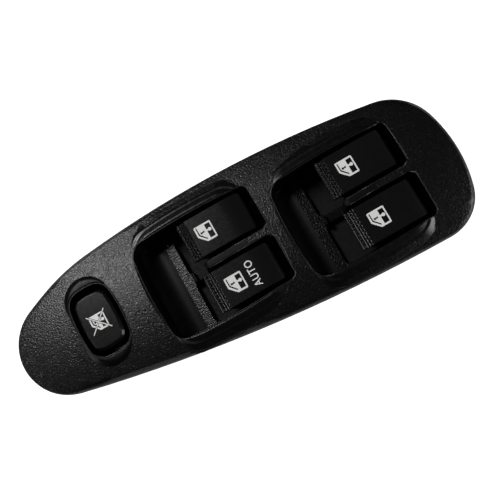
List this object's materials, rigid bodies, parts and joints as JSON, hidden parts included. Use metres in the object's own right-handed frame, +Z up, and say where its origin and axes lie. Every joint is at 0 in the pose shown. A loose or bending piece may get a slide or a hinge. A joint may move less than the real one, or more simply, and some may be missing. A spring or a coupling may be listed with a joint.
{
  "type": "power window switch",
  "caption": "Driver's power window switch panel: a long moulded bezel with finger wells, tilting rockers and a window lock button over a switch module.",
  "frame": {"origin": "middle of the panel's outline, level with the flat bottom of the switch module's cover", "axes": "+X along the panel from its pointed end with the lock button to its round end, +Y across it towards the right window's rockers, +Z up out of the door trim"},
  "size_m": [0.213, 0.0764, 0.0465],
  "materials": {
    "bezel_plastic": "fine-grained black ABS, low sheen",
    "housing_plastic": "black glass-filled nylon, plain",
    "cover_plastic": "dark grey polypropylene, plain",
    "board_laminate": "green solder mask on glass laminate",
    "contact_metal": "gold-flashed copper",
    "header_plastic": "natural white nylon",
    "terminal_metal": "tinned brass",
    "lamp_epoxy": "clear epoxy over phosphor",
    "relay_plastic": "black moulded can",
    "chip_epoxy": "black moulding compound",
    "screw_steel": "zinc-plated steel",
    "clip_steel": "phosphated spring steel",
    "case_plastic": "black acetal",
    "spring_steel": "bright spring steel",
    "button_plastic": "satin black ABS",
    "plunger_plastic": "natural acetal",
    "rocker_plastic": "satin black ABS"
  },
  "bodies": {
    "base": {"bezel": "bezel_plastic", "switch_housing": "housing_plastic", "lower_cover": "cover_plastic", "circuit_board": "board_laminate", "fixed_contacts": "contact_metal", "connector_header": "header_plastic", "connector_terminals": "terminal_metal", "indicator_lamps": "lamp_epoxy", "motor_relay": "relay_plastic", "control_chip": "chip_epoxy", "bezel_screws": "screw_steel", "nose_clip": "clip_steel", "tail_clip": "clip_steel", "lock_switch_case": "case_plastic", "lock_spring": "spring_steel", "front_left_return_spring": "spring_steel", "front_right_return_spring": "spring_steel", "rear_left_return_spring": "spring_steel", "rear_right_return_spring": "spring_steel"},
    "front_left_key": {"front_left_rocker": "rocker_plastic"},
    "front_left_carriage": {"front_left_slider": "plunger_plastic", "front_left_contact_bridges": "contact_metal"},
    "front_right_key": {"front_right_rocker": "rocker_plastic"},
    "front_right_carriage": {"front_right_slider": "plunger_plastic", "front_right_contact_bridges": "contact_metal"},
    "rear_left_key": {"rear_left_rocker": "rocker_plastic"},
    "rear_left_carriage": {"rear_left_slider": "plunger_plastic", "rear_left_contact_bridges": "contact_metal"},
    "rear_right_key": {"rear_right_rocker": "rocker_plastic"},
    "rear_right_carriage": {"rear_right_slider": "plunger_plastic", "rear_right_contact_bridges": "contact_metal"},
    "lock_key": {"window_lock_button": "button_plastic", "lock_plunger": "plunger_plastic"},
    "lock_latch": {"lock_latch_wire": "spring_steel"}
  },
  "joints": [
    {"name": "front_left_rock", "type": "hinge", "parent": "base", "child": "front_left_key", "pos_m": [0.0017, -0.0098, 0.034], "axis": [0, 1, 0], "range_deg": [-8, 8], "stiffness_Nm_per_rad": 0.4, "deforming": ["front_left_return_spring"]},
    {"name": "front_left_slide", "type": "slide", "parent": "base", "child": "front_left_carriage", "axis": [1, 0, 0], "range_m": [-0.0025, 0.0025]},
    {"name": "front_right_rock", "type": "hinge", "parent": "base", "child": "front_right_key", "pos_m": [0.0017, 0.0155, 0.034], "axis": [0, 1, 0], "range_deg": [-8, 8], "stiffness_Nm_per_rad": 0.4, "deforming": ["front_right_return_spring"]},
    {"name": "front_right_slide", "type": "slide", "parent": "base", "child": "front_right_carriage", "axis": [1, 0, 0], "range_m": [-0.0025, 0.0025]},
    {"name": "rear_left_rock", "type": "hinge", "parent": "base", "child": "rear_left_key", "pos_m": [0.06745, -0.01635, 0.034], "axis": [0, 1, 0], "range_deg": [-8, 8], "stiffness_Nm_per_rad": 0.4, "deforming": ["rear_left_return_spring"]},
    {"name": "rear_left_slide", "type": "slide", "parent": "base", "child": "rear_left_carriage", "axis": [1, 0, 0], "range_m": [-0.0025, 0.0025]},
    {"name": "rear_right_rock", "type": "hinge", "parent": "base", "child": "rear_right_key", "pos_m": [0.06745, 0.00895, 0.034], "axis": [0, 1, 0], "range_deg": [-8, 8], "stiffness_Nm_per_rad": 0.4, "deforming": ["rear_right_return_spring"]},
    {"name": "rear_right_slide", "type": "slide", "parent": "base", "child": "rear_right_carriage", "axis": [1, 0, 0], "range_m": [-0.0025, 0.0025]},
    {"name": "lock_press", "type": "slide", "parent": "base", "child": "lock_key", "axis": [0, 0, 1], "range_m": [-0.003, 0], "stiffness_N_per_m": 500, "deforming": ["lock_spring"]},
    {"name": "latch_swing", "type": "hinge", "parent": "base", "child": "lock_latch", "pos_m": [-0.0656, 0.01095, 0.0146], "axis": [0, 1, 0], "range_deg": [0, 5.8]}
  ],
  "couplings": [
    {"joint": "front_left_slide", "follows": "front_left_rock", "m_per_rad": -0.0175},
    {"joint": "front_right_slide", "follows": "front_right_rock", "m_per_rad": -0.0175},
    {"joint": "rear_left_slide", "follows": "rear_left_rock", "m_per_rad": -0.0175},
    {"joint": "rear_right_slide", "follows": "rear_right_rock", "m_per_rad": -0.0175},
    {"joint": "latch_swing", "follows": "lock_press", "rad_per_m": -33.2}
  ]
}
